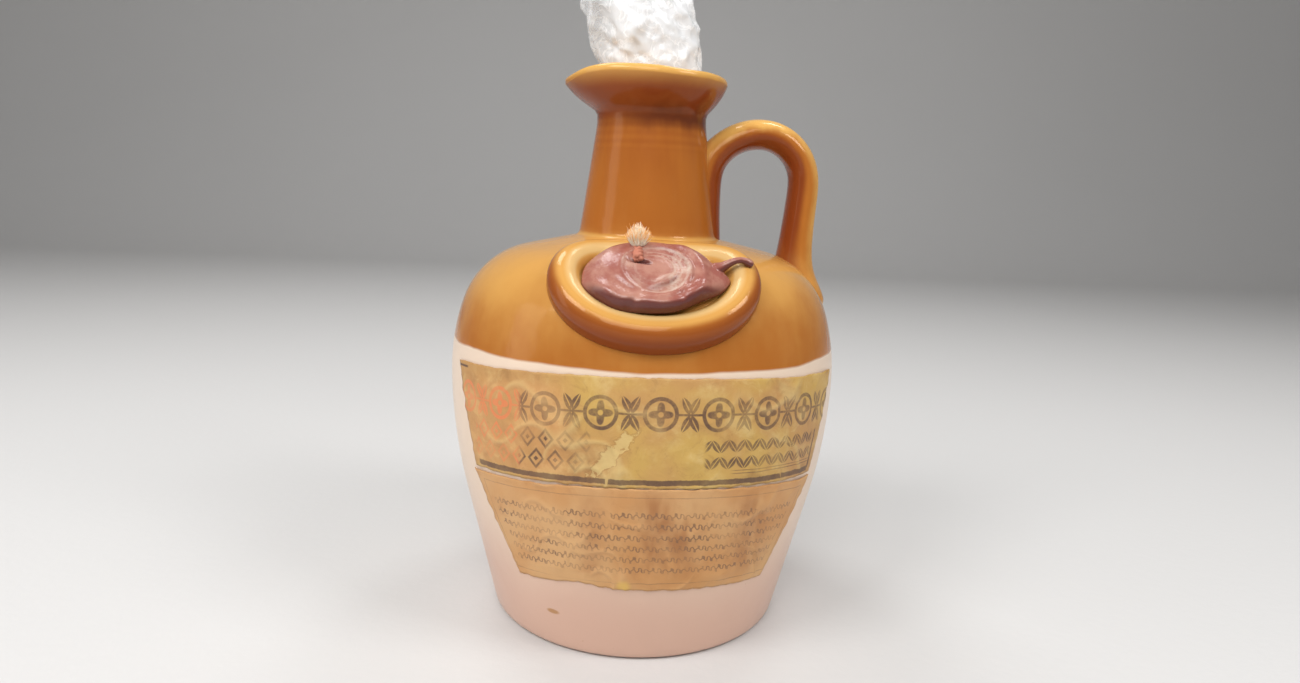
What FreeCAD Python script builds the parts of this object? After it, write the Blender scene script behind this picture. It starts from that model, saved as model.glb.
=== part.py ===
import FreeCAD, Part
import math
import os

# Stoneware liquor flagon with a pouring lip, a loop handle and a wax seal, in millimetres.
# +Z is up and the origin is the middle of the foot. The seal and the labels face -Y,
# the pouring lip points to -X and the handle stands at +X.

# Vessel, outside
body_radius = 59.0         # at the belly, the widest place
belly_z = 75.8             # height of the belly
flank_top = 40.0           # height where the straight flank runs into the belly
flank_lean = 13.6          # degrees from upright
shoulder_radius = 63.5     # first arc above the belly
shoulder_turn = 18.9       # degrees
crown_radius = 25.3        # tighter arc that turns the shoulder in
crown_turn = 58.9          # degrees
crease_radius = 21.1       # neck where it leaves the shoulder
crease_round = 1.6
neck_height = 36.2         # from the crease to the underside of the rim
neck_top_radius = 16.0
foot_edge = 3.0
foot_ring_width = 6.0
foot_recess = 1.5

# Vessel, inside
wall = 5.0
floor_thickness = 6.0
floor_round = 8.0
bore_radius = 11.0         # throat that grips the cork
throat_length = 14.0

# Rim and pouring lip
rim_height = 12.1          # from the underside to the top
rim_radius = 22.5
rim_thickness = 4.4
rim_round = 1.7
lip_reach = 5.7            # how far the lip stands out past the rim
lip_spread = 36.0          # degrees to each side
lip_dip = 3.6              # how far the lip's tip hangs below the rim's top
lip_start = 12.0           # distance from the axis where the top begins to dip
rim_fall = 1.3             # how far the top falls from there to the handle's side

# Handle
handle_thickness = 9.4
handle_width = 13.5
handle_rise = 32.2         # middle of the arch above the crease
handle_inset = 3.8         # upright limb, its middle inside the crease radius
handle_bend_z = 17.9       # where the limbs run into the arch, above the crease
handle_apex = 0.53         # top of the arch, as a share of the way between the limbs
handle_foot_z = 97.6       # lowest place of the foot on the shoulder
handle_foot_inset = 7.3    # outer limb, its middle inside that place
handle_foot_length = 15.5
handle_foot_width = 18.0
handle_foot_proud = 1.3    # thickness of the foot's lower end on the shoulder

# Seal ring, a roll of clay on the front of the shoulder
ring_low_z = 94.8          # middle of the roll at its lowest place
ring_low_proud = 1.0       # the roll's middle above the shoulder there
ring_high_radius = 28.0    # middle of the roll next to the neck
ring_high_sink = 2.8       # the roll's middle below the shoulder there
ring_width = 46.5          # between the roll's middles, side to side
ring_roll = 4.4            # radius of the roll

# Wax seal and its cord
wax_width = 36.5
wax_length = 25.0
wax_thickness = 4.4
wax_shift_x = -0.8
wax_shift_up = -3.4        # its middle from the ring's, along the slope
wax_round = 1.5
wax_wobble = 0.035         # unevenness of the edge, as a share
stamp_width = 16.0
stamp_length = 15.5
stamp_depth = 1.1
run_radius = 1.7           # the run of wax that crosses the ring
run_rise = 2.4             # its end above the ring's middle, along the slope
cord_radius = 1.4
cord_length = 6.0          # lying in the wax
cord_x = -4.6
cord_place = 68.0          # degrees round the crown where the cord comes out of the wax
cord_bend = 1.8            # radius of its middle line where it turns up
tuft_neck = 1.7
tuft_radius = 3.1
tuft_height = 5.6

# Paper labels, each trimmed to half angles round the flank
paper = 0.2
paste = 0.05
header_top = 84.4
header_height = 28.8
label_droop = 4.0          # the ends of a top edge hang lower than its middle
header_foot_droop = 3.0
header_top_angle = 64.0     # degrees
header_foot_angle = 55.5    # degrees
text_gap = 0.5
text_height = 31.5
text_top_angle = 56.5       # degrees
text_foot_angle = 42.5      # degrees
text_foot_droop = 1.0

# Stopper
cork_fit = 0.05
cork_taper = 0.6           # how much slimmer the lower end is
cork_length = 30.0
cork_top = 3.6             # above the underside of the rim
cork_chamfer = 1.0
head_height = 17.0
head_round = 3.0
spigot_radius = 4.0
spigot_length = 12.0
spigot_fit = 0.05

# Film wrapped over the stopper
film_fit = 0.36            # between its lower edge and the funnel of the rim
film_gap = 0.5             # round the stopper's head
film_low = 1.5             # lower edge above the head's underside
film_thickness = 1.1       # of the crumpled layers
film_spread = 0.48         # how far the wrap stands out, as a share of the funnel's spread
film_crown = 20.0          # wrap above the head
film_lean = 5.4            # the wrap leans to -X towards its top
film_lobes = 4
film_lobe_depth = 0.05

# Small allowances
slip = 0.05                # clay slip or wax film between seated pieces
rim_lap = 1.5              # the neck runs up this far inside the rim, and the funnel down into the bore
reach = 200.0              # longer than the flagon, for cutting tools

up = FreeCAD.Vector(0, 0, 1)
origin = FreeCAD.Vector(0, 0, 0)


def at(r, z):
    return FreeCAD.Vector(r, 0, z)


# Outline of the vessel's outside, shared by everything that sits on it
lean = math.radians(flank_lean)
turn_one = math.radians(shoulder_turn)
turn_two = turn_one + math.radians(crown_turn)
belly_curve = (belly_z - flank_top) / math.sin(lean)
belly_axis = at(body_radius - belly_curve, belly_z)
shoulder_axis = at(body_radius - shoulder_radius, belly_z)
crown_step = shoulder_radius - crown_radius
crown_axis = shoulder_axis + at(math.cos(turn_one), math.sin(turn_one)) * crown_step
crown_start_z = belly_z + shoulder_radius * math.sin(turn_one)
cone_way = at(-math.sin(turn_two), math.cos(turn_two))


def on_arc(axis, radius, angle):
    return axis + at(math.cos(angle), math.sin(angle)) * radius


def arc(axis, radius, first, last):
    middle = on_arc(axis, radius, (first + last) / 2)
    return Part.Arc(on_arc(axis, radius, first), middle, on_arc(axis, radius, last)).toShape()


def line(a, b):
    return Part.LineSegment(a, b).toShape()


def meet(p, way, q, other):
    cross = way.x * other.z - way.z * other.x
    gap = q - p
    return p + way * ((gap.x * other.z - gap.z * other.x) / cross)


def rounded(before, corner, after, radius):
    # tangent points of the arc that rounds a corner, and the arc
    to_before = (before - corner).normalize()
    to_after = (after - corner).normalize()
    half = to_before.getAngle(to_after) / 2
    first = corner + to_before * (radius / math.tan(half))
    last = corner + to_after * (radius / math.tan(half))
    bisector = (to_before + to_after).normalize()
    middle = corner + bisector * (radius / math.sin(half) - radius)
    return first, last, Part.Arc(first, middle, last).toShape()


def turned(edges):
    return Part.Face(Part.Wire(edges)).revolve(origin, up, 360)


def closed_curve(points):
    curve = Part.BSplineCurve()
    curve.interpolate(Points=points, PeriodicFlag=True)
    return Part.Wire([curve.toShape()])


crown_end = on_arc(crown_axis, crown_radius, turn_two)
crease_z = crown_end.z + (crown_end.x - crease_radius) / math.tan(turn_two)
rim_z = crease_z + neck_height
rim_top = rim_z + rim_height
neck_way = at(neck_top_radius - crease_radius, neck_height).normalize()
neck_normal = at(neck_way.z, -neck_way.x)


def slope(z):
    # point of the outline at a height below the crease, and the way out of the clay there
    if z < flank_top:
        corner = on_arc(belly_axis, belly_curve, -lean)
        return at(corner.x - (corner.z - z) * math.tan(lean), z), at(math.cos(lean), -math.sin(lean))
    if z >= crown_end.z:
        return at(crown_end.x - (z - crown_end.z) * math.tan(turn_two), z), at(cone_way.z, -cone_way.x)
    if z < belly_z:
        axis, radius = belly_axis, belly_curve
    elif z < crown_start_z:
        axis, radius = shoulder_axis, shoulder_radius
    else:
        axis, radius = crown_axis, crown_radius
    way = at(math.sqrt(radius ** 2 - (z - axis.z) ** 2), z - axis.z)
    return axis + way, way * (1 / radius)


def vessel_solid(grow, low, edge_round, top):
    # turned solid inside the outline moved out by grow, from the height low up the neck to top
    sides = [
        arc(belly_axis, belly_curve + grow, -lean, 0),
        arc(shoulder_axis, shoulder_radius + grow, 0, turn_one),
        arc(crown_axis, crown_radius + grow, turn_one, turn_two),
    ]
    flank_end = on_arc(belly_axis, belly_curve + grow, -lean)
    corner = meet(flank_end, at(-math.sin(lean), -math.cos(lean)), at(0, low), at(1, 0))
    crown = on_arc(crown_axis, crown_radius + grow, turn_two)
    neck = at(crease_radius, crease_z) + neck_normal * grow
    crease = meet(crown, cone_way, neck, neck_way)
    neck_end = meet(neck, neck_way, at(0, top), at(1, 0))
    edge_in, edge_out, edge = rounded(at(0, low), corner, flank_end, edge_round)
    crease_in, crease_out, fillet = rounded(crown, crease, neck_end, crease_round + max(-grow, 0))
    edges = [line(at(0, low), edge_in), edge, line(edge_out, flank_end)] + sides
    edges += [line(crown, crease_in), fillet, line(crease_out, neck_end)]
    edges += [line(neck_end, at(0, top)), line(at(0, top), at(0, low))]
    return turned(edges)


def lip_curve(radius, stand_out, z, count=12):
    # circle drawn out to -X by the pouring lip
    points = []
    for i in range(count):
        angle = 2 * math.pi * i / count
        aside = math.degrees(abs(math.pi - angle)) / lip_spread
        r = radius + stand_out * math.exp(-aside ** 2)
        points.append(FreeCAD.Vector(r * math.cos(angle), r * math.sin(angle), z))
    return closed_curve(points)


def rim_cutter():
    # what lies above the rim: a slight fall to the handle's side and a curved dip to the lip's tip
    run = rim_radius + lip_reach - lip_start
    bend = (run ** 2 + lip_dip ** 2) / (2 * lip_dip)
    swing = math.asin(run / bend)
    axis = at(-lip_start, rim_top - bend)
    fall = on_arc(axis, bend, math.pi / 2 + swing)
    beyond = fall + at(-math.cos(swing), -math.sin(swing)) * rim_radius
    roof = rim_top + reach
    fall_rate = rim_fall / (rim_radius + lip_start)
    low_side = at(2 * rim_radius, rim_top - fall_rate * (2 * rim_radius + lip_start))
    edges = [
        line(low_side, at(-lip_start, rim_top)),
        arc(axis, bend, math.pi / 2, math.pi / 2 + swing),
        line(fall, beyond),
        line(beyond, at(beyond.x, roof)),
        line(at(beyond.x, roof), at(low_side.x, roof)),
        line(at(low_side.x, roof), low_side),
    ]
    face = Part.Face(Part.Wire(edges))
    face.translate(FreeCAD.Vector(0, -reach / 2, 0))
    return face.extrude(FreeCAD.Vector(0, reach, 0))


def rim_flare():
    # share of the rim's height, of the way out from the neck to the rim, and of the lip's reach
    shape = (
        (-0.15, -0.12, 0.0),
        (0.0, 0.0, 0.04),
        (0.24, 0.42, 0.36),
        (0.52, 0.76, 0.72),
        (0.8, 1.0, 1.0),
        (1.3, 1.06, 1.16),
    )
    flare = rim_radius - neck_top_radius
    curves = []
    for height, out, lip in shape:
        curves.append(lip_curve(neck_top_radius + flare * out, lip_reach * lip, rim_z + rim_height * height))
    return Part.makeLoft(curves, True)


def funnel_radius(share):
    # inside of the rim, away from the lip, at a share of the rim's height
    throat = bore_radius - slip
    return throat + (rim_radius - rim_thickness - throat) * share


def rim_funnel():
    curves = [lip_curve(funnel_radius(0), 0, rim_z - rim_lap)]
    for share in (0.35, 0.7, 1.15):
        curves.append(lip_curve(funnel_radius(share), lip_reach * share, rim_z + rim_height * share))
    return Part.makeLoft(curves, True)


def cavity():
    # even wall inside the outline, then a taper to the throat that grips the cork
    low = rim_z - throat_length
    inside = vessel_solid(-wall, floor_thickness, floor_round, low - wall)
    neck_in = meet(at(crease_radius, crease_z) - neck_normal * wall, neck_way, at(0, low - wall), at(1, 0))
    taper = Part.makeCone(neck_in.x, bore_radius, wall, at(0, low - wall), up)
    throat = Part.makeCylinder(bore_radius, throat_length, at(0, low))
    return inside.fuse([taper, throat])


def jug_body(outside):
    vessel = outside.cut([cavity(), rim_funnel()])
    ring_inner = slope(0)[0].x - foot_edge - foot_ring_width
    vessel = vessel.cut(Part.makeCone(ring_inner, ring_inner - foot_recess, foot_recess, origin, up))
    lowest = rim_top - lip_dip - rim_fall - rim_thickness
    rim_edges = [e for e in vessel.Edges if e.BoundBox.ZMin > lowest and e.BoundBox.XLength > rim_radius]
    return vessel.makeFillet(rim_round, rim_edges)


def oval(middle, across, width, along, length, wobble=0.0, count=16):
    # closed oval in the plane of two ways, with an uneven edge where wobble is given
    points = []
    for i in range(count):
        angle = 2 * math.pi * i / count
        swell = 1 + wobble * (math.cos(3 * angle + 0.9) + 0.7 * math.cos(5 * angle))
        points.append(middle + across * (width / 2 * swell * math.cos(angle))
                      + along * (length / 2 * swell * math.sin(angle)))
    return closed_curve(points)


def handle(clay):
    # sections across the middle line: up the neck, over the arch, down to a spread foot on the shoulder
    left = crease_radius - handle_inset
    foot = slope(handle_foot_z)[0].x
    right = foot - handle_foot_inset
    apex = left + (right - left) * handle_apex
    bend = crease_z + handle_bend_z
    arch = handle_rise - handle_bend_z
    stations = []

    def station(x, z, way, thickness=handle_thickness, width=handle_width):
        stations.append(oval(at(x, z), at(way.z, -way.x), thickness, FreeCAD.Vector(0, 1, 0), width))

    for z in (crease_z - wall, crease_z + handle_bend_z / 3, bend):
        station(left, z, up)
    for degrees in (30, 60, 90):
        a = math.radians(degrees)
        way = at((apex - left) * math.sin(a), arch * math.cos(a)).normalize()
        station(apex - (apex - left) * math.cos(a), bend + arch * math.sin(a), way)
    for degrees in (60, 30, 0):
        a = math.radians(degrees)
        way = at((right - apex) * math.sin(a), -arch * math.cos(a)).normalize()
        station(apex + (right - apex) * math.cos(a), bend + arch * math.sin(a), way)
    spread = handle_foot_length - handle_thickness
    drop = bend - handle_foot_z
    toe = foot + handle_foot_proud - right - handle_foot_length / 2
    for share, grow, shift in ((0.4, 0.1, -0.9), (0.7, 0.34, -0.9), (0.87, 0.75, -0.3), (0.97, 1.0, 0.0),
                               (1.06, 1.0, -2.0)):
        thickness = handle_thickness + spread * grow
        width = handle_width + (handle_foot_width - handle_width) * grow
        station(right + shift + toe * grow, bend - drop * share, up * -1, thickness, width)
    return Part.makeLoft(stations, True).cut(clay)


# Frame of the seal: across is +X, rising is up the shoulder's slope, facing is out of the clay
def front(p):
    return FreeCAD.Vector(0, -p.x, p.z)


ring_low = front(slope(ring_low_z)[0])
ring_high = front(meet(crown_end, cone_way, at(ring_high_radius, 0), at(0, 1)))
seal_middle = (ring_low + ring_high) * 0.5
ring_length = (ring_high - ring_low).Length
across = FreeCAD.Vector(1, 0, 0)
rising = (ring_high - ring_low).normalize()
facing = across.cross(rising)


def on_shoulder(aside, rise, lift):
    # place over a point of the seal's plane, lifted off the shoulder by a distance
    base = seal_middle + across * aside + rising * rise
    inner, outer = -body_radius / 2, body_radius / 2
    for _ in range(40):
        half = (inner + outer) / 2
        p = base + facing * half
        if math.hypot(p.x, p.y) < slope(p.z)[0].x:
            inner = half
        else:
            outer = half
    p = base + facing * inner
    way = slope(p.z)[1]
    radius = math.hypot(p.x, p.y)
    return p + FreeCAD.Vector(way.x * p.x / radius, way.x * p.y / radius, way.z) * lift


def roll_middle(angle):
    # middle of the roll: proud of the shoulder at the front, sinking into it towards the neck
    rise = math.sin(angle)
    lift = ring_low_proud - (ring_low_proud + ring_high_sink) * max(rise, 0) ** 2
    return on_shoulder(ring_width / 2 * math.cos(angle), ring_length / 2 * rise, lift)


def seal_roll(radius, count=16):
    step = 2 * math.pi / count
    sections = []
    for i in range(count):
        way = roll_middle((i + 0.5) * step) - roll_middle((i - 0.5) * step)
        aside = way.cross(facing).normalize()
        outward = aside.cross(way).normalize()
        sections.append(oval(roll_middle(i * step), aside, 2 * radius, outward, 2 * radius, count=12))
    return Part.makeLoft(sections, True, False, True)


def wax_seal(clay, roll, cord):
    # stamped puck of even thickness on the shoulder, with a run that crosses the ring
    middle = seal_middle + across * wax_shift_x + rising * wax_shift_up
    edge = oval(middle - facing * wax_thickness, across, wax_width, rising, wax_length, wax_wobble)
    block = Part.Face(edge).extrude(facing * wax_width)
    puck = block.common(vessel_solid(wax_thickness, 0, foot_edge, rim_z).cut(clay))
    rim_edges = [e for e in puck.Edges if clay.distToShape(e)[0] > wax_thickness * 0.9]
    puck = puck.makeFillet(wax_round, rim_edges)
    stamp = Part.Face(oval(middle, across, stamp_width, rising, stamp_length)).extrude(facing * wax_width)
    puck = puck.cut(stamp.cut(vessel_solid(wax_thickness - stamp_depth, 0, foot_edge, rim_z)))
    crest = ring_low_proud + ring_roll - run_radius / 4
    start = on_shoulder(wax_shift_x + wax_width / 4, 0, wax_thickness - run_radius)
    over = on_shoulder(ring_width / 2 - 2 * run_radius, run_rise, crest)
    end = on_shoulder(ring_width / 2 + run_radius / 2, run_rise, crest)
    path = Part.Wire([Part.Arc(start, over, end).toShape()])
    way = path.Edges[0].tangentAt(path.Edges[0].FirstParameter)
    run = path.makePipeShell([Part.Wire([Part.makeCircle(run_radius, start, way)])], True, False)
    return puck.fuse([run, Part.makeSphere(run_radius, end)]).cut([clay, roll, cord])


def seal_cord(fit):
    # short cord lying in the wax, turned up into a frayed tuft
    place = math.radians(cord_place)
    top = on_arc(crown_axis, crown_radius + wax_thickness - cord_radius / 2, place)
    corner = FreeCAD.Vector(cord_x, -math.sqrt(top.x ** 2 - cord_x ** 2), top.z)
    down = front(at(math.sin(place), -math.cos(place)))
    end = corner + down * cord_length
    bend_in, bend_out, bend = rounded(end, corner, corner + up, cord_bend)
    path = Part.Wire([line(end, bend_in), bend])
    cord = path.makePipeShell([Part.Wire([Part.makeCircle(cord_radius + fit, end, down)])], True, False)
    tip = cord_radius / 2
    brush = [
        line(at(0, 0), at(tuft_neck + fit, 0)),
        Part.Arc(at(tuft_neck + fit, 0), at(tuft_radius, tuft_height / 2), at(tip, tuft_height)).toShape(),
        line(at(tip, tuft_height), at(0, tuft_height)),
        line(at(0, tuft_height), at(0, 0)),
    ]
    tuft = turned(brush)
    tuft.translate(bend_out - up * (tuft_neck - cord_radius))
    return cord.fuse(tuft)


def label(top, foot, top_droop, foot_droop, top_angle, foot_angle):
    # skin of paper on the flank, trimmed from the front to an outline with arched long edges
    def corner(angle, z, side):
        return FreeCAD.Vector(side * slope(z)[0].x * math.sin(math.radians(angle)), -reach, z)

    def arched(z, droop, angle):
        ends = [corner(angle, z - droop, side) for side in (-1, 1)]
        return Part.Arc(ends[0], FreeCAD.Vector(0, -reach, z), ends[1]).toShape(), ends

    upper, upper_ends = arched(top, top_droop, top_angle)
    lower, lower_ends = arched(foot, foot_droop, foot_angle)
    edges = [upper, line(upper_ends[1], lower_ends[1]), lower, line(lower_ends[0], upper_ends[0])]
    trim = Part.Face(Part.Wire(Part.sortEdges(edges)[0])).extrude(FreeCAD.Vector(0, reach, 0))
    skin = vessel_solid(paste + paper, 0, foot_edge, rim_z).cut(vessel_solid(paste, 0, foot_edge, rim_z))
    return skin.common(trim)


# Stopper and film, sized from the funnel that they stand in
cork_z = rim_z + cork_top
film_foot = cork_z + film_low
film_radius = funnel_radius((film_foot - rim_z) / rim_height) - film_fit
film_bulge = film_spread * (funnel_radius(1) - funnel_radius(0))
head_radius = film_radius - film_thickness - film_gap


def stopper_cork():
    low = cork_z - cork_length
    radius = bore_radius - cork_fit
    hole = spigot_radius + spigot_fit
    depth = cork_z - spigot_length - spigot_fit
    return turned([
        line(at(0, low), at(radius - cork_taper - cork_chamfer, low)),
        line(at(radius - cork_taper - cork_chamfer, low), at(radius - cork_taper, low + cork_chamfer)),
        line(at(radius - cork_taper, low + cork_chamfer), at(radius, cork_z)),
        line(at(radius, cork_z), at(hole, cork_z)),
        line(at(hole, cork_z), at(hole, depth)),
        line(at(hole, depth), at(0, depth)),
        line(at(0, depth), at(0, low)),
    ])


def stopper_head():
    # moulded knob with a spigot that is glued into the cork
    top = cork_z + head_height
    below = head_round / 3
    spigot_end = cork_z - spigot_length
    return turned([
        line(at(spigot_radius, cork_z), at(head_radius - below, cork_z)),
        arc(at(head_radius - below, cork_z + below), below, -math.pi / 2, 0),
        line(at(head_radius, cork_z + below), at(head_radius, top - head_round)),
        arc(at(head_radius - head_round, top - head_round), head_round, 0, math.pi / 2),
        line(at(head_radius - head_round, top), at(0, top)),
        line(at(0, top), at(0, spigot_end)),
        line(at(0, spigot_end), at(spigot_radius, spigot_end)),
        line(at(spigot_radius, spigot_end), at(spigot_radius, cork_z)),
    ])


def film_form(inset, low):
    # lobed wrap, slim in the mouth, bulging over the rim and drawn in at the top
    high = cork_z + head_height + film_crown - inset
    shape = (
        # share of the height, of the bulge, of the lean and of the lobes, and how far it is drawn in
        (0.0, 0.0, 0.0, 0.0, 1.0),
        (0.3, 0.8, 0.35, 0.8, 1.0),
        (0.62, 1.0, 0.82, 1.0, 1.0),
        (0.86, 0.75, 1.0, 1.0, 0.9),
        (1.0, 0.4, 1.0, 0.4, 0.45),
    )
    count = film_lobes * 3
    curves = []
    for share, bulge, shift, lobes, drawn in shape:
        radius = (film_radius - inset + film_bulge * bulge) * drawn
        z = film_foot + (high - film_foot) * share if share else low
        points = []
        for i in range(count):
            angle = 2 * math.pi * i / count
            wave = math.cos(film_lobes * angle + 2.5 * share) + 0.6 * math.cos(2 * angle + 4 * share)
            r = radius * (1 + film_lobe_depth * lobes * wave)
            points.append(FreeCAD.Vector(r * math.cos(angle) - film_lean * shift, r * math.sin(angle), z))
        curves.append(closed_curve(points))
    return Part.makeLoft(curves, True)


def film_wrap():
    return film_form(0.0, film_foot).cut(film_form(film_thickness, film_foot - film_thickness))


outside = vessel_solid(0, 0, foot_edge, rim_z + rim_lap)
outside = outside.fuse(rim_flare().cut(rim_cutter()))
clay = vessel_solid(slip, 0, foot_edge, rim_z)
text_top = header_top - header_height - text_gap

nodes = {
    "jug_body": jug_body(outside),
    "handle": handle(clay),
    "seal_ring": seal_roll(ring_roll).cut(clay),
    "wax_seal": wax_seal(clay, seal_roll(ring_roll + slip), seal_cord(slip)),
    "seal_cord": seal_cord(0.0),
    "header_label": label(header_top, header_top - header_height, label_droop, header_foot_droop,
                          header_top_angle, header_foot_angle),
    "text_label": label(text_top, text_top - text_height, label_droop, text_foot_droop,
                        text_top_angle, text_foot_angle),
    "stopper_cork": stopper_cork(),
    "stopper_head": stopper_head(),
    "film_wrap": film_wrap(),
}

os.makedirs("parts", exist_ok=True)
for name, shape in nodes.items():
    solids = shape.Solids
    print(name, shape.isValid(), len(solids), round(shape.Volume, 1))
    shape = solids[0] if len(solids) == 1 else Part.makeCompound(solids)
    shape.exportStep("parts/" + name + ".step")
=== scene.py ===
from functools import reduce
from math import acos, asin, atan2, cos, degrees, exp, hypot, pi, radians, remainder, sin, sqrt, tan

import bmesh
import bpy
from mathutils import Matrix, Vector, noise


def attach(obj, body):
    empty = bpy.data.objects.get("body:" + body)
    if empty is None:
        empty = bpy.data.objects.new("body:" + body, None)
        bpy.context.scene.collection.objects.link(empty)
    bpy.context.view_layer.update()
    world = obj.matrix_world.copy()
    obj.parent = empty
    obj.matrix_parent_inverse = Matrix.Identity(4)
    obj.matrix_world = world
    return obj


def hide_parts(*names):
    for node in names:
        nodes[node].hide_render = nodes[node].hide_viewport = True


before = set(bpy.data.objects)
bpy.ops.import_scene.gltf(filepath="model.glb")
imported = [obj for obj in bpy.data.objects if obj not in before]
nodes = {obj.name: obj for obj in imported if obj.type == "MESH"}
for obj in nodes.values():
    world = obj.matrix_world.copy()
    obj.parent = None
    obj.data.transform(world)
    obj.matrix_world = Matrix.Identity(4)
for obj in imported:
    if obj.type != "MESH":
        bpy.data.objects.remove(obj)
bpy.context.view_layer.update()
scene = bpy.context.scene
mm = 0.001
print("frame loaded:", ", ".join(sorted(nodes)))


# Shader maths

class Wire:
    # a socket in a node tree; arithmetic on wires adds Math nodes
    def __init__(self, tree, socket=None):
        self.tree = tree
        self.socket = socket

    def add(self, kind, settings=None, sockets=None, out=0):
        node = self.tree.nodes.new("ShaderNode" + kind)
        for key, value in (settings or {}).items():
            setattr(node, key, value)
        for key, value in (sockets or {}).items():
            socket = node.inputs[key]
            if isinstance(value, Wire):
                self.tree.links.new(value.socket, socket)
            elif socket.type == "RGBA":
                socket.default_value = (*value[:3], 1)
            else:
                socket.default_value = value
        return Wire(self.tree, node.outputs[out] if len(node.outputs) else None)

    def maths(self, operation, first, second=0.0):
        return self.add("Math", {"operation": operation}, {0: first, 1: second})

    def __add__(self, other):
        return self.maths("ADD", self, other)

    def __sub__(self, other):
        return self.maths("SUBTRACT", self, other)

    def __rsub__(self, other):
        return self.maths("SUBTRACT", other, self)

    def __mul__(self, other):
        return self.maths("MULTIPLY", self, other)

    def __truediv__(self, other):
        return self.maths("DIVIDE", self, other)

    __radd__ = __add__
    __rmul__ = __mul__

    def most(self, other):
        return self.maths("MAXIMUM", self, other)

    def size(self):
        return self.maths("ABSOLUTE", self)

    def hypot(self, other):
        return self.maths("SQRT", self * self + other * other)

    def ease(self, low, high):
        # 0 below low, 1 above high, smooth between
        sockets = {"Value": self, "From Min": low, "From Max": high}
        return self.add("MapRange", {"interpolation_type": "SMOOTHSTEP"}, sockets)

    def tint(self, first, second):
        # colours mixed by this mask
        return self.add("Mix", {"data_type": "RGBA"}, {0: self, 6: first, 7: second}, 2)

    def grain(self, scale, detail=3.0, rough=0.5, bend=0.0):
        # cloudy noise on this vector
        sockets = {"Vector": self, "Scale": scale, "Detail": detail, "Roughness": rough, "Distortion": bend}
        return self.add("TexNoise", None, sockets)

    def stretched(self, x, y, z):
        return self.add("Mapping", None, {"Vector": self, "Scale": (x, y, z)})

    def sway(self, reach):
        # noise swinging about nought
        return (self - 0.5) * reach

    def stroke(self, width, soft=0.12):
        # a line where this value is near nought
        return 1 - self.size().ease(width - soft, width + soft)

    def span(self, low, high, soft):
        return self.ease(low - soft, low + soft) * (1 - self.ease(high - soft, high + soft))

    def repeat(self, pitch, shift):
        # distance from the nearest of evenly spaced places
        return (self.maths("FRACT", (self - shift) / pitch + 100.5) - 0.5) * pitch

    def turns(self, pitch):
        return self.maths("SINE", self * (2 * pi / pitch))

    def relief(self, depth, strength):
        return self.add("Bump", None, {"Height": self, "Distance": depth * mm, "Strength": strength})


def clearTree(owner):
    owner.use_nodes = True
    owner.node_tree.nodes.clear()
    return Wire(owner.node_tree)


def makeMaterial(name, look, *given):
    # a look takes a wire and gives back colour, roughness, normal and any further sockets
    material = bpy.data.materials.new(name)
    wire = clearTree(material)
    colour, rough, bump, *rest = look(wire, *given)
    sockets = {"Base Color": colour, "Roughness": rough, "Normal": bump, **dict(*rest)}
    wire.add("OutputMaterial", None, {"Surface": wire.add("BsdfPrincipled", None, sockets)})
    return material


def painted(colour, tones, *coats):
    # coats over a colour: a mask, its strength and the name of a tone
    for mask, strength, tone in coats:
        colour = (mask * strength).tint(colour, tones[tone])
    return colour


def objectSpot(wire):
    return wire.add("TexCoord", None, None, 3)


def faceNormal(wire):
    return wire.add("NewGeometry", None, None, 1)


def keptValue(wire, name):
    # a number that the vertices carry
    return wire.add("Attribute", {"attribute_name": name}, None, 2)


def axisOf(spot, which):
    return spot.add("SeparateXYZ", None, {0: spot}, "XYZ".index(which))


# Small helpers for meshes, all in millimetres until the piece is made

def linkObject(name, data):
    thing = bpy.data.objects.new(name, data)
    scene.collection.objects.link(thing)
    return thing


def makeObject(name, bm, material):
    mesh = bpy.data.meshes.new(name)
    bm.to_mesh(mesh)
    bm.free()
    mesh.polygons.foreach_set("use_smooth", [True] * len(mesh.polygons))
    mesh.materials.append(material)
    return linkObject(name, mesh)


def makePiece(name, bm, material, body, stands):
    bmesh.ops.scale(bm, vec=(mm, mm, mm), verts=bm.verts)
    piece = makeObject(name, bm, material)
    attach(piece, body)
    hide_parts(stands)
    print("made", name, len(piece.data.polygons), "faces")
    return piece


def smoothSkin(piece, levels):
    skin = piece.modifiers.new("skin", "SUBSURF")
    skin.levels = levels
    skin.render_levels = levels


def thicken(piece, thickness, offset):
    thick = piece.modifiers.new("thick", "SOLIDIFY")
    thick.thickness = thickness * mm
    thick.offset = offset


def chain(bm, places):
    verts = [bm.verts.new(place) for place in places]
    return verts, [bm.edges.new(pair) for pair in zip(verts, verts[1:])]


def spinProfile(points, steps, merge=0.001):
    # an outline of radius and height, turned once round the upright axis
    bm = bmesh.new()
    verts, edges = chain(bm, [(p.x, 0, p.y) for p in points])
    bmesh.ops.spin(bm, geom=verts + edges, cent=(0, 0, 0), axis=(0, 0, 1), angle=2 * pi, steps=steps,
                   use_merge=True)
    bmesh.ops.remove_doubles(bm, verts=bm.verts, dist=merge)
    return bm


def pull(bm, edges):
    # new vertices and edges, still in place
    geom = bmesh.ops.extrude_edge_only(bm, edges=edges)["geom"]
    kinds = bmesh.types.BMVert, bmesh.types.BMEdge
    return [[g for g in geom if isinstance(g, kind)] for kind in kinds]


def faceOut(bm):
    bmesh.ops.recalc_face_normals(bm, faces=bm.faces)


def station(middle, along, side, width, depth=None):
    # frame of one section: its own x is the side way, its own y lies across both, both scaled
    along = along.normalized()
    side = (side - along * side.dot(along)).normalized()
    axes = (side * width, along.cross(side) * (depth or width), along)
    return Matrix.Translation(middle) @ Matrix(axes).transposed().to_4x4()


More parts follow.
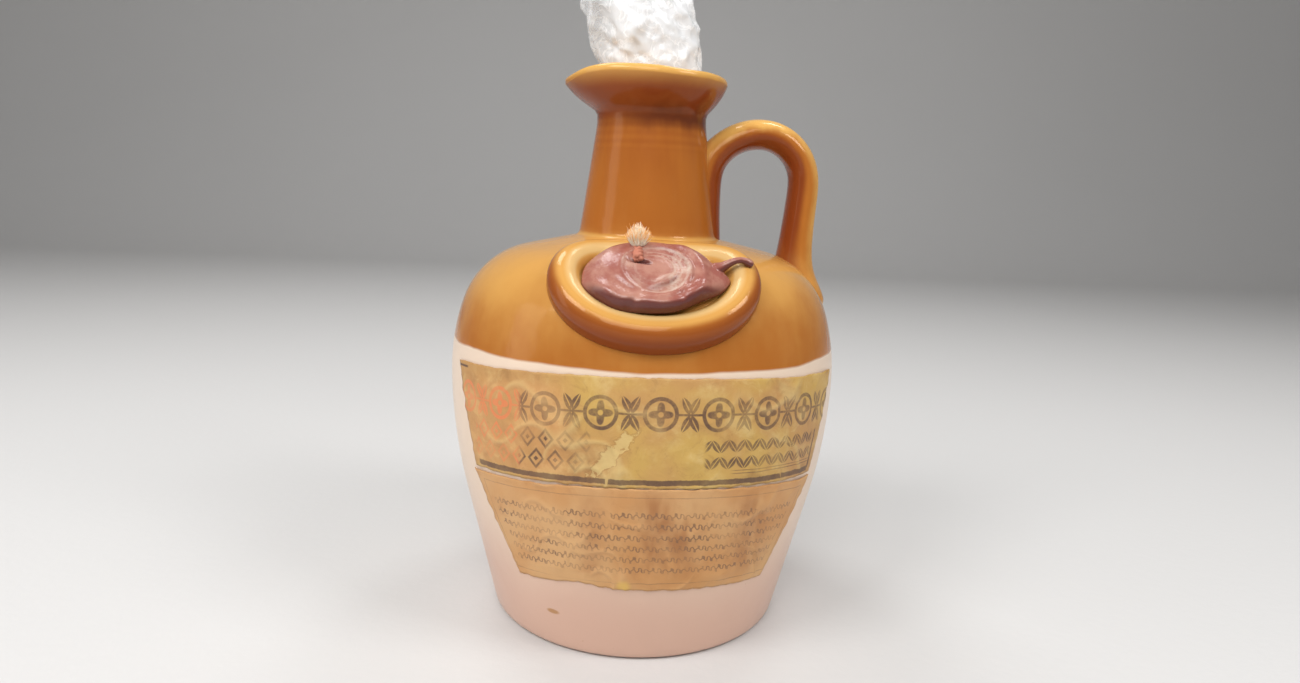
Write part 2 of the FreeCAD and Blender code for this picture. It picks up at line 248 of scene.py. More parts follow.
def wayAlong(path, i):
    return path[min(i + 1, len(path) - 1)] - path[max(i - 1, 0)]


def sweep(bm, stations, segments, closed=False):
    # a round section pulled through the stations; gives back the rings of vertices
    ring = bmesh.ops.create_circle(bm, segments=segments, radius=1.0, matrix=stations[0])["verts"]
    edges = list(dict.fromkeys(e for v in ring for e in v.link_edges))
    rings, firstEdges = [ring], edges
    for before, after in zip(stations, stations[1:]):
        ring, edges = pull(bm, edges)
        bmesh.ops.transform(bm, matrix=after @ before.inverted(), verts=ring)
        rings.append(ring)
    if closed:
        bmesh.ops.bridge_loops(bm, edges=firstEdges + edges)
    else:
        bmesh.ops.edgeloop_fill(bm, edges=firstEdges)
        bmesh.ops.edgeloop_fill(bm, edges=edges)
    return rings


def ringMiddle(ring):
    return sum((v.co for v in ring), Vector()) / len(ring)


def wobble(point, size, seed):
    # smooth unevenness from -1 to 1, with features about as large as size
    return noise.noise(point / size + Vector((seed, 2 * seed, -seed)))


def bell(distance, width):
    return exp(-(distance / width) ** 2)


def rampUp(value, low, high):
    share = min(max((value - low) / (high - low), 0), 1)
    return share * share * (3 - 2 * share)


def between(first, last, share):
    return first + (last - first) * share


def around(radius, angle, z=0):
    return Vector((radius * cos(angle), radius * sin(angle), z))


# Outline of the stoneware, in millimetres; everything that sits on it follows it

vessel = {
    "bodyRadius": 59.0, "bellyZ": 75.8, "flankTop": 40.0, "flankLean": 13.6,
    "shoulderRadius": 63.5, "shoulderTurn": 18.9, "crownRadius": 25.3, "crownTurn": 58.9,
    "creaseRadius": 21.1, "creaseRound": 2.2, "neckHeight": 36.2, "neckTopRadius": 16.0,
    "footEdge": 3.0, "footRing": 6.0, "footRecess": 1.5,
    "wall": 5.0, "floor": 6.0, "floorRound": 8.0, "boreRadius": 11.0, "throat": 14.0,
    "rimHeight": 12.1, "rimRadius": 22.5, "rimThickness": 4.4, "rimRound": 2.2, "rimFall": 1.3,
    "rimWave": 0.7, "flareSpan": 1.3, "flare": (1.11, 2.47), "lipFlare": (1.16, 1.82),
    "lipReach": 5.7, "lipSpread": 36.0, "lipDip": 3.6, "lipStart": 12.0,
    "wave": 0.12, "waveSink": 0.4, "waveStart": 20.0, "turns": 96, "sharp": 1.0, "rimEdge": 4.0,
}


def flat(r, z):
    return Vector((r, z))


def onArc(axis, radius, angle):
    return axis + flat(cos(angle), sin(angle)) * radius


def arcPoints(axis, radius, first, last, count):
    return [onArc(axis, radius, between(first, last, i / count)) for i in range(count + 1)]


def meet(p, way, q, other):
    gap = q - p
    return p + way * ((gap.x * other.y - gap.y * other.x) / (way.x * other.y - way.y * other.x))


def roundCorner(before, corner, after, radius, count=4):
    first = (before - corner).normalized()
    last = (after - corner).normalized()
    half = acos(first.dot(last)) / 2
    axis = corner + (first + last).normalized() * (radius / sin(half))
    start, end = (corner + way * (radius / tan(half)) - axis for way in (first, last))
    startAngle = atan2(start.y, start.x)
    turn = remainder(atan2(end.y, end.x) - startAngle, 2 * pi)
    return arcPoints(axis, radius, startAngle, startAngle + turn, count)


lean = radians(vessel["flankLean"])
turnOne = radians(vessel["shoulderTurn"])
turnTwo = turnOne + radians(vessel["crownTurn"])
bellyCurve = (vessel["bellyZ"] - vessel["flankTop"]) / sin(lean)
bellyAxis = flat(vessel["bodyRadius"] - bellyCurve, vessel["bellyZ"])
shoulderAxis = flat(vessel["bodyRadius"] - vessel["shoulderRadius"], vessel["bellyZ"])
crownAxis = onArc(shoulderAxis, vessel["shoulderRadius"] - vessel["crownRadius"], turnOne)
crownEnd = onArc(crownAxis, vessel["crownRadius"], turnTwo)
crownStartZ = vessel["bellyZ"] + vessel["shoulderRadius"] * sin(turnOne)
coneWay = flat(-sin(turnTwo), cos(turnTwo))
creaseZ = crownEnd.y + (crownEnd.x - vessel["creaseRadius"]) / tan(turnTwo)
rimZ = creaseZ + vessel["neckHeight"]
rimTop = rimZ + vessel["rimHeight"]
neckWay = flat(vessel["neckTopRadius"] - vessel["creaseRadius"], vessel["neckHeight"]).normalized()
neckOut = flat(neckWay.y, -neckWay.x)


def outlineAt(z):
    # radius of the outside at a height, and the way out of the clay there
    if z < vessel["flankTop"]:
        corner = onArc(bellyAxis, bellyCurve, -lean)
        return corner.x - (corner.y - z) * tan(lean), flat(cos(lean), -sin(lean))
    if z > creaseZ:
        return vessel["creaseRadius"] + neckWay.x / neckWay.y * (z - creaseZ), neckOut
    if z > crownEnd.y:
        return crownEnd.x - (z - crownEnd.y) * tan(turnTwo), flat(coneWay.y, -coneWay.x)
    if z < vessel["bellyZ"]:
        axis, radius = bellyAxis, bellyCurve
    elif z < crownStartZ:
        axis, radius = shoulderAxis, vessel["shoulderRadius"]
    else:
        axis, radius = crownAxis, vessel["crownRadius"]
    way = flat(sqrt(radius ** 2 - (z - axis.y) ** 2), z - axis.y)
    return axis.x + way.x, way / radius


def skinGap(point):
    # how far a point stands off the stoneware
    radius, way = outlineAt(point.z)
    return (hypot(point.x, point.y) - radius) * way.x


def wayOut(point):
    # the way out of the clay at a point of its skin
    way = outlineAt(point.z)[1]
    radius = hypot(point.x, point.y)
    return Vector((way.x * point.x / radius, way.x * point.y / radius, way.y))


def uneven(point):
    # slight waviness of the fired clay, mostly inwards and none at the foot
    depth = vessel["wave"] * (wobble(point, 30, 3) - vessel["waveSink"])
    return point.normalized() * depth * min(point.z / vessel["waveStart"], 1)


def vesselSide(grow, low, edgeRound, top):
    # the outline moved out by grow, from the edge of the foot up to a height on the neck
    flankEnd = onArc(bellyAxis, bellyCurve + grow, -lean)
    corner = meet(flankEnd, flat(-sin(lean), -cos(lean)), flat(0, low), flat(1, 0))
    crown = onArc(crownAxis, vessel["crownRadius"] + grow, turnTwo)
    neck = flat(vessel["creaseRadius"], creaseZ) + neckOut * grow
    crease = meet(crown, coneWay, neck, neckWay)
    neckEnd = meet(neck, neckWay, flat(0, top), flat(1, 0))
    points = roundCorner(flat(0, low), corner, flankEnd, edgeRound)
    points += [points[-1].lerp(flankEnd, i / 5) for i in range(1, 5)]
    points += arcPoints(bellyAxis, bellyCurve + grow, -lean, 0, 8)
    points += arcPoints(shoulderAxis, vessel["shoulderRadius"] + grow, 0, turnOne, 5)[1:]
    points += arcPoints(crownAxis, vessel["crownRadius"] + grow, turnOne, turnTwo, 8)[1:]
    points += roundCorner(crown, crease, neckEnd, vessel["creaseRound"] + max(-grow, 0))
    points += [points[-1].lerp(neckEnd, i / 6) for i in range(1, 7)]
    return points


# Vessel with its flared rim and pouring lip

def flareOut(share):
    # how far out the rim's outside stands at a share of its height, and how much of the lip it has
    left = 1 - share / vessel["flareSpan"]
    out, lip = (reach * (1 - left ** bend) for reach, bend in (vessel["flare"], vessel["lipFlare"]))
    return between(vessel["neckTopRadius"], vessel["rimRadius"], out), lip


def flareIn(share):
    return between(vessel["boreRadius"], vessel["rimRadius"] - vessel["rimThickness"], share), share


def rimLevel(x):
    # height of the rim's top: a slight fall to the handle, a curved dip to the lip
    over = -vessel["lipStart"] - x
    if over <= 0:
        return rimTop + vessel["rimFall"] * over / (vessel["rimRadius"] + vessel["lipStart"])
    run = vessel["rimRadius"] + vessel["lipReach"] - vessel["lipStart"]
    bend = (run ** 2 + vessel["lipDip"] ** 2) / (2 * vessel["lipDip"])
    return rimTop - bend + sqrt(max(bend ** 2 - over ** 2, 0))


def drawLip(vert):
    # pulls a vertex of the plain round rim to its place on the lipped one
    share = (vert.co.z - rimZ) / vessel["rimHeight"]
    angle = atan2(vert.co.y, vert.co.x)
    aside = degrees(pi - abs(angle)) / vessel["lipSpread"]
    inner = hypot(vert.co.x, vert.co.y) < (flareOut(share)[0] + flareIn(share)[0]) / 2
    here = share
    # a few rounds, because the rim's level goes by the radius
    for _ in range(4):
        radius, lip = flareIn(here) if inner else flareOut(here)
        radius += vessel["lipReach"] * lip * exp(-aside ** 2)
        here = share * (rimLevel(radius * cos(angle)) - rimZ) / vessel["rimHeight"]
    vert.co = around(radius, angle, rimZ + here * vessel["rimHeight"])
    vert.co.z += vessel["rimWave"] * share ** 3 * wobble(Vector((vert.co.x, vert.co.y, 0)), 11, 17)


def buildVessel(material):
    foot = outlineAt(0)[0] - vessel["footEdge"] - vessel["footRing"]
    recess = vessel["footRecess"]
    throatLow = rimZ - vessel["throat"]
    inside = vesselSide(-vessel["wall"], vessel["floor"], vessel["floorRound"], throatLow - vessel["wall"])
    profile = [flat(0, recess), flat(foot / 2, recess), flat(foot - recess, recess), flat(foot, 0)]
    profile += vesselSide(0, 0, vessel["footEdge"], rimZ)
    outShares, inShares = (0.12, 0.28, 0.46, 0.64, 0.82, 1.0), (1.0, 0.75, 0.5, 0.25, 0.05)
    for flare, shares in ((flareOut, outShares), (flareIn, inShares)):
        profile += [flat(flare(s)[0], rimZ + s * vessel["rimHeight"]) for s in shares]
    profile += [flat(vessel["boreRadius"], z) for z in (rimZ - 1, rimZ - 7, throatLow)]
    profile += reversed(inside)
    profile += [flat(inside[0].x / 2, vessel["floor"]), flat(0, vessel["floor"])]
    bm = spinProfile(profile, vessel["turns"])
    for vert in bm.verts:
        if vert.co.z > rimZ + 0.01 * vessel["rimHeight"]:
            drawLip(vert)
        else:
            vert.co += uneven(vert.co)
    faceOut(bm)
    sharp = [e for e in bm.edges if e.calc_face_angle(0) > vessel["sharp"]]
    rimEdges = [e for e in sharp if min(v.co.z for v in e.verts) > rimZ + vessel["rimEdge"]]
    bmesh.ops.bevel(bm, geom=rimEdges, offset=vessel["rimRound"], affect="EDGES", segments=3, profile=0.5,
                    material=-1)
    smoothSkin(makePiece("flagonBody", bm, material, "jug", "jug_body"), 1)


# Loop handle; each station of the limb has a share of the drop, a share of the foot's spread and a shift

handle = {
    "thickness": 9.4, "width": 13.5, "rise": 32.2, "inset": 3.8, "bendZ": 17.9, "apex": 0.53,
    "footZ": 97.6, "footInset": 7.3, "footLength": 15.5, "footWidth": 18.0, "footProud": 1.3,
    "limb": ((0.22, 0.03, -0.7), (0.42, 0.1, -1.3), (0.58, 0.18, -1.6), (0.72, 0.34, -1.5),
             (0.84, 0.66, -0.8), (0.93, 0.92, -0.2), (1.0, 1.0, -0.6), (1.06, 1.0, -2.2)),
    "loop": (30.0, 12.0), "flare": 3.0, "flareGrow": 0.16, "sides": 20,
}


def flareOnto(rings, reach, grow):
    # spreads a sweep where it comes down on the stoneware, like smoothed slip
    for ring in rings:
        middle = ringMiddle(ring)
        for vert in ring:
            near = 1 - min(max(skinGap(vert.co), 0) / reach, 1)
            vert.co = middle + (vert.co - middle) * (1 + grow * near ** 2)


def buildHandle(material):
    left = vessel["creaseRadius"] - handle["inset"]
    foot = outlineAt(handle["footZ"])[0]
    right = foot - handle["footInset"]
    apex = between(left, right, handle["apex"])
    bend = creaseZ + handle["bendZ"]
    arch = handle["rise"] - handle["bendZ"]
    half, deep = handle["thickness"] / 2, handle["width"] / 2
    stations = []

    def place(x, z, wayX, wayZ, thick=half, wide=deep):
        middle, along = Vector((x, 0, z)), Vector((wayX, 0, wayZ))
        stations.append(station(middle, along, Vector((0, 1, 0)), wide, thick))

    for share in (-0.3, 0.0, 0.35, 0.7, 1.0):
        place(left, creaseZ + handle["bendZ"] * share, 0, 1)
    for turn in (22, 45, 68, 90, 112, 135, 158, 180):
        # over the top on two quarters of ellipses
        a = radians(turn)
        reach = apex - left if turn <= 90 else right - apex
        place(apex - reach * cos(a), bend + arch * sin(a), reach * sin(a), arch * cos(a))
    drop = bend - handle["footZ"]
    toe = foot + handle["footProud"] - right - handle["footLength"] / 2
    for share, grow, shift in handle["limb"]:
        thick = between(half, handle["footLength"] / 2, grow)
        wide = between(deep, handle["footWidth"] / 2, grow)
        place(right + shift + toe * grow, bend - drop * share, 0, -1, thick, wide)
    bm = bmesh.new()
    flareOnto(sweep(bm, stations, handle["sides"]), handle["flare"], handle["flareGrow"])
    faceOut(bm)
    smoothSkin(makePiece("loopHandle", bm, material, "jug", "handle"), 2)


# Seal ring, a roll of clay on the front of the shoulder

seal = {
    "lowZ": 94.8, "lowProud": 1.0, "highRadius": 28.0, "highSink": 2.8, "width": 46.5, "roll": 4.4,
    "flare": 2.2, "flareGrow": 0.3, "turns": 56, "sides": 18, "search": 30.0,
}
sealLow = Vector((0, -outlineAt(seal["lowZ"])[0], seal["lowZ"]))
sealHighFlat = meet(crownEnd, coneWay, flat(seal["highRadius"], 0), flat(0, 1))
sealHigh = Vector((0, -sealHighFlat.x, sealHighFlat.y))
sealMiddle = (sealLow + sealHigh) / 2
sealLength = (sealHigh - sealLow).length
across = Vector((1, 0, 0))
rising = (sealHigh - sealLow).normalized()
facing = across.cross(rising)


def onShoulder(aside, rise, lift):
    # place over a point of the seal's plane, lifted off the shoulder
    base = sealMiddle + across * aside + rising * rise
    inner, outer = -seal["search"], seal["search"]
    for _ in range(24):
        middle = (inner + outer) / 2
        if skinGap(base + facing * middle) < 0:
            inner = middle
        else:
            outer = middle
    point = base + facing * inner
    return point + wayOut(point) * lift


def rollMiddle(angle):
    rise = sin(angle)
    lift = seal["lowProud"] - (seal["lowProud"] + seal["highSink"]) * max(rise, 0) ** 2
    return onShoulder(seal["width"] / 2 * cos(angle), sealLength / 2 * rise, lift)


def buildRing(material):
    bm = bmesh.new()
    step = 2 * pi / seal["turns"]
    stations = []
    for i in range(seal["turns"]):
        way = rollMiddle((i + 0.5) * step) - rollMiddle((i - 0.5) * step)
        stations.append(station(rollMiddle(i * step), way, way.cross(facing), seal["roll"]))
    crest = bm.verts.layers.float.new("crest")
    rings = sweep(bm, stations, seal["sides"], closed=True)
    for ring in rings:
        middle = ringMiddle(ring)
        outward = (middle - sealMiddle).normalized()
        brow = (facing - outward * 0.5).normalized()
        low = rampUp(-outward.dot(rising), -0.6, 0.3)
        for vert in ring:
            # above nought on the brow, for thin glaze and a painted highlight; below it on the outer side,
            # for painted shade where glaze also gathers
            way = (vert.co - middle).normalized()
            vert[crest] = rampUp(way.dot(brow), 0.75, 1.0) - low * rampUp(way.dot(outward), 0.3, 1.0)
    flareOnto(rings, seal["flare"], seal["flareGrow"])
    faceOut(bm)
    smoothSkin(makePiece("sealRing", bm, material, "jug", "seal_ring"), 1)


# Glazes: honey brown above a level dip line, cream below it

glaze = {
    "dipZ": 85.4, "pinkReflectionTop": 60.0, "ringPitch": 2.4, "fleckPlace": (-24.6, -41.3, 12.8),
    "collarDrop": 1.8, "collarHalf": 2.4, "collarSide": (-18.0, 2.0),
    # deep and dark also serve as painted shade, thin and bare also as painted light
    "deep": (0.24, 0.052, 0.012), "honey": (0.43, 0.145, 0.023), "thin": (0.79, 0.455, 0.12),
    "bare": (0.84, 0.62, 0.29), "dark": (0.105, 0.024, 0.009), "gleam": (1.0, 0.74, 0.52),
    "cream": (0.77, 0.61, 0.48), "blush": (0.645, 0.42, 0.325), "spot": (0.42, 0.20, 0.06),
}


def brownGlaze(wire, spot, height, cloud, loop):
    # darker where the glaze gathers and paler where it runs thin, with painted shade on faces that look down
    # and on the neck, and painted light on faces that look up
    normal = faceNormal(wire)
    upward = axisOf(normal, "Z")
    aside = axisOf(spot, "X") / mm
    streak = spot.stretched(1, 1, 0.12).grain(210)
    rimShare = (height - rimZ) / vessel["rimHeight"]
    # painted shade: faces that look down are made darker, together with glaze that gathers there
    pooledAndShaded = (0.1 - upward).ease(-0.1, 0.9) * (1 - rimShare.ease(0.0, 0.3) * 0.5)
    if loop:
        # darker on the side that looks into the handle's loop: glaze gathers there, and painted shade of the
        # loop's inside
        away, rise = aside - loop[0], height - creaseZ - loop[1]
        inward = (axisOf(normal, "X") * away + upward * rise) / away.hypot(rise)
        pooledAndShaded = (pooledAndShaded * 0.5).most((0.15 - inward).ease(-0.1, 1.0))
    # painted shade: up the neck the glaze is made deeper and less pale than on the shoulder
    upNeck = height.ease(creaseZ + 4.0, rimZ)
    onNeck = height.ease(creaseZ, creaseZ + 8.0)
    runs = (streak - 0.5) * (onNeck * 0.7 + 0.3)
    tone = (pooledAndShaded * 1.2 + upNeck * 0.4 + cloud.sway(0.6) + runs * 0.5).ease(0.0, 1.0)
    crest = keptValue(wire, "crest")
    patchy = runs * 0.7 + cloud.sway(0.9)
    # paler on faces that look up: thin glaze, and painted light from above
    thinAndLit = upward * 1.1 - upNeck * 0.2 - onNeck * 0.25 + patchy + crest * 0.5
    # the ring's crest value gives its brow a painted highlight over thin glaze, and its outer side painted
    # shade
    brown = painted(tone.tint(glaze["honey"], glaze["deep"]), glaze,
                    (thinAndLit.ease(0.0, 0.9), 0.7, "thin"),
                    (crest.ease(0.45, 1.0), 0.62, "bare"),
                    ((0 - crest).ease(0.0, 0.9), 0.75, "deep"))
    if loop:
        # paler on the side that looks out of the loop: thin glaze, and a painted highlight
        return painted(brown, glaze, ((inward + patchy * 1.2).ease(0.1, 1.0), 0.7, "thin"))
    thrown = rimShare.span(0.05, 0.7, 0.05) * 0.24 + rimShare.span(-0.9, 0.0, 0.1) * 0.12
    thrown = (height + cloud * 1.5).turns(glaze["ringPitch"]) * thrown + 0.16
    edge = (rimShare + cloud.sway(0.2)).ease(0.45, 1.0) * (0.6 + upward.ease(-0.4, 0.3) * 0.3)
    # painted shade under the rim, where glaze also gathers, stronger towards the handle's side
    collar = height - rimZ + glaze["collarDrop"] + streak.sway(3) + cloud.sway(3)
    gatheredAndShaded = collar.stroke(glaze["collarHalf"], glaze["collarHalf"])
    gatheredAndShaded = gatheredAndShaded * (aside.ease(*glaze["collarSide"]) * 0.7 + 0.22)
    return painted(brown, glaze, (thrown, 1, "deep"), (edge, 1, "thin"), (gatheredAndShaded, 1, "dark"))


def glazeLook(wire, loop=None):
    spot = objectSpot(wire)
    height = axisOf(spot, "Z") / mm
    cloud = spot.grain(38, 4, 0.55)
    brown = brownGlaze(wire, spot, height, cloud, loop)
    # pinker and darker towards the foot: a painted reflection of pink cloth beneath
    low = height.ease(0.0, glaze["pinkReflectionTop"]) + spot.grain(22).sway(0.5)
    specks = spot.grain(900, 2, 0.6).ease(0.72, 0.8)
    fleck = spot.add("VectorMath", {"operation": "SUBTRACT"}, {0: spot, 1: Vector(glaze["fleckPlace"]) * mm})
    fleck = spot.add("VectorMath", {"operation": "LENGTH"}, {0: fleck.stretched(0.4, 0.4, 1)}, 1)
    fleck = 1 - (fleck / mm + cloud.sway(1.2)).ease(0.5, 1.0)
    cream = low.ease(0, 1).tint(glaze["blush"], glaze["cream"])
    cream = painted(cream, glaze, (specks, 0.35, "spot"), (fleck, 0.8, "spot"))
    line = height + spot.grain(55, 2).sway(1.6)
    dipped = line.ease(glaze["dipZ"] - 0.45, glaze["dipZ"] + 0.45)
    rough = 0.11 + cloud * 0.06 + (1 - dipped) * 0.16
    bump = (spot.grain(120, 2) + spot.grain(700, 2) * 0.06).relief(0.6, 0.35)
    return dipped.tint(cream, brown), rough, bump, {"IOR": 1.4, "Specular Tint": glaze["gleam"]}


stoneware = makeMaterial("twoToneGlaze", glazeLook)
buildVessel(stoneware)
buildHandle(makeMaterial("handleGlaze", glazeLook, handle["loop"]))
buildRing(stoneware)


# Wax seal, laid on the shoulder inside the ring; marks have a place and a turn, lobes an angle and a size

wax = {
    "width": 36.5, "length": 25.0, "thickness": 4.4, "flatShare": 0.78, "sink": 0.3,
    "shiftX": -0.8, "shiftUp": -3.4, "lobes": ((-2.25, 0.07), (-1.3, 0.05)),
    "stamp": (-0.3, -2.6, -0.3), "stampWidth": 17.5, "stampLength": 15.5, "stampDepth": 0.7,
    "ridges": 32, "bar": (2.7, -5.5, 0.49), "slit": (-3.8, -0.6, -0.2),
    "dome": (-10.0, 4.5, 6.5), "creases": ((-1.93, 0.7), (-0.95, 0.5)),
    "run": ((15.0, 0.4, 2.4, 1.9), (16.6, 0.8, 3.4, 1.4), (17.9, 1.2, 4.7, 1.05), (19.1, 1.5, 5.7, 0.9),
            (20.3, 1.7, 6.2, 0.85), (21.4, 1.8, 6.2, 0.95), (22.3, 1.8, 5.9, 1.15), (22.9, 1.8, 5.7, 1.1),
            (23.4, 1.8, 5.5, 0.55)),
    "turns": 132, "voxel": 0.26,
    "rose": (0.31, 0.098, 0.074), "dusty": (0.47, 0.235, 0.172),
    "wornAndHighlight": (0.57, 0.45, 0.36), "shade": (0.095, 0.014, 0.011),
}
cord = {
    "radius": 1.4, "length": 6.0, "x": -4.6, "place": 68.0, "rise": 1.6,
    "strands": 3, "strandOff": 0.48, "strandRadius": 0.55, "pitch": 5.5,
    "fibres": 560, "fibreRadius": 0.07, "tuftHeight": 5.0, "tuftRoot": 1.2, "curl": 1.2,
    "stained": (0.52, 0.19, 0.12), "rust": (0.85, 0.42, 0.12), "bleached": (0.97, 0.91, 0.76),
}
cordAngle = radians(cord["place"])
cordTop = onArc(crownAxis, vessel["crownRadius"] + wax["thickness"] - cord["radius"] / 2, cordAngle)
cordCorner = Vector((cord["x"], -sqrt(cordTop.x ** 2 - cord["x"] ** 2), cordTop.y))
cordEnd = cordCorner + Vector((0, -sin(cordAngle), -cos(cordAngle))) * cord["length"]


def waxReach(angle):
    # uneven edge of the puck, with two sagging lobes on the low side
    lobes = sum(size * bell(angle - at, 0.3) for at, size in wax["lobes"])
    drawnUp = 0.2 * rampUp(-sin(angle), 0.0, 0.8)
    spur = 0.07 * bell(angle - 0.12, 0.16)
    return 0.99 + 0.02 * cos(3 * angle + 0.6) + 0.012 * cos(7 * angle) + lobes - drawnUp + spur


def onMark(aside, rise, mark):
    # distances along and off a straight mark, for numbers and for wires
    c, s = cos(mark[2]), sin(mark[2])
    x, y = aside - mark[0], rise - mark[1]
    return x * c + y * s, y * c - x * s


def onStamp(aside, rise):
    # place in the stamp's own oval, for numbers and for wires
    x, y = onMark(aside, rise, wax["stamp"])
    return x / (wax["stampWidth"] / 2), y / (wax["stampLength"] / 2)


def waxRelief(aside, rise):
    # worn stamp: an oval edge, close ridges on its right, a bar across and the slit at the cord's end;
    # the wax swells on its left, falls away at both ends and rolls up right of the stamp
    x, y = onStamp(aside, rise)
    far = hypot(x, y)
    inside = 1 - rampUp(far, 0.76, 0.96)
    kept = rampUp(x + 0.4 * y, -0.3, 0.6)
    edge = (0.12 + 0.3 * kept) * bell(far - 0.99, 0.12)
    ridges = 0.12 * cos(wax["ridges"] * far) * kept
    ridges *= rampUp(far, 0.4, 0.6) * (1 - rampUp(far, 0.95, 1.05))
    along, off = onMark(aside, rise, wax["bar"])
    bar = 0.6 * bell(off, 0.9) * bell(along, 4.0)
    along, off = onMark(aside, rise, wax["slit"])
    slit = 1.4 * bell(along, 2.6) * bell(off, 0.45)
    lips = 0.4 * bell(along, 3.0) * bell(off - 1.2, 0.6)
    domeX, domeWide, domeLong = wax["dome"]
    domes = 0.25 * bell(hypot((aside - domeX) / domeWide, rise / domeLong), 1.0)
    domes -= rampUp(-aside, 10.5, 17.5) + 0.9 * rampUp(aside, 10.5, 16.5)
    roll = (0.65 * bell(far - 1.32, 0.17) - 0.3 * bell(far - 1.09, 0.06)) * rampUp(x, 0.0, 0.6)
    return edge + ridges + bar + lips + domes + roll - slit - wax["stampDepth"] * inside


def waxPoint(spot):
    # from the plain round puck to its place on the shoulder
    thick = wax["thickness"]
    angle = atan2(spot.y, spot.x)
    reach = hypot(spot.x, spot.y) / thick
    low = rampUp(-sin(angle), 0.0, 0.7)
    aside = wax["shiftX"] + wax["width"] / 2 * reach * waxReach(angle) * cos(angle)
    rise = wax["shiftUp"] + wax["length"] / 2 * reach * waxReach(angle) * sin(angle)
    roll = bell(reach - 0.8, 0.13) - 0.4 * bell(reach - 0.58, 0.08)
    roll -= sum(depth * bell(angle - at, 0.1) for at, depth in wax["creases"]) * rampUp(reach, 0.6, 0.8)
    soft = 0.14 * wobble(Vector((aside, rise, 0)), 7, 11)
    worked = waxRelief(aside, rise) + roll * low + soft
    return onShoulder(aside, rise, spot.z + worked * rampUp(spot.z / thick, 0.3, 0.95))


def buildWax(material):
    thick, level = wax["thickness"], wax["flatShare"]
    profile = [flat(level * i / 40, thick) for i in range(41)]
    for tilt in range(80, -80, -8):
        bulge = onArc(flat(0, 1), 1, radians(tilt))
        profile.append(flat(level + (1 - level) * bulge.x, thick / 2 * bulge.y))
    profile += [flat(0.8, 0), flat(0.74, -wax["sink"]), flat(0.4, -wax["sink"]), flat(0, -wax["sink"])]
    bm = spinProfile([flat(p.x * thick, p.y) for p in profile], wax["turns"])
    for vert in bm.verts:
        vert.co = waxPoint(vert.co)
    run = [onShoulder(*spot[:3]) for spot in wax["run"]]
    sweep(bm, [station(run[i], wayAlong(run, i), facing, spot[3]) for i, spot in enumerate(wax["run"])], 16)
    faceOut(bm)
    piece = makePiece("waxSeal", bm, material, "jug", "wax_seal")
    skin = piece.modifiers.new("skin", "REMESH")
    skin.mode = "VOXEL"
    skin.voxel_size = wax["voxel"] * mm
    skin.use_smooth_shade = True
    ease = piece.modifiers.new("ease", "SMOOTH")
    ease.factor = 0.5
    ease.iterations = 3


def waxLook(wire):
    spot = objectSpot(wire)
    rise = axisOf(spot, "Y") * (rising.y / mm) + axisOf(spot, "Z") * (rising.z / mm) - sealMiddle.dot(rising)
    aside = axisOf(spot, "X") / mm
    x, y = onStamp(aside, rise)
    far = x.hypot(y)
    cloud = spot.grain(150, 4, 0.6)
    fine = spot.grain(1400, 3, 0.6)
    kept = (x + y * 0.4).ease(-0.3, 0.6)
    lines = wire.maths("COSINE", far * wax["ridges"] + cloud.sway(4)).ease(0.0, 1.0)
    scuffed = (spot.grain(260, 4, 0.65) + fine * 0.3).ease(0.52, 0.82)
    band = far.ease(0.4, 0.65) * (1 - far.ease(0.98, 1.1)) * (kept * 0.75 + 0.25)
    band = band * (lines * 0.3 + scuffed * 0.7)
    band = band.most((far - 0.98 + cloud.sway(0.14)).stroke(0.02, 0.04) * scuffed * 0.5)
    # the stamp's edge is worn paler; the raised bar across it is paled as a painted highlight
    along, off = onMark(aside, rise, wax["bar"])
    band = band.most(off.stroke(0.5, 0.5) * along.stroke(3.0, 1.5) * 0.3)
    along, off = onMark(aside, rise, wax["slit"])
    slit = off.stroke(0.35, 0.3) * along.stroke(2.4, 0.8)
    under = (0.6 - axisOf(faceNormal(wire), "Z") + cloud.sway(0.3)).ease(0.0, 0.7)
    colour = painted(wax["rose"], wax, (cloud.ease(0.36, 0.66), 0.8, "dusty"), (band, 1, "wornAndHighlight"),
                     (slit, 0.9, "shade"), (under, 0.92, "shade"))
    return colour, 0.17 + band * 0.4 + cloud * 0.1, (cloud + fine * 0.25).relief(0.7, 0.3)


# Cut cord with its frayed tuft

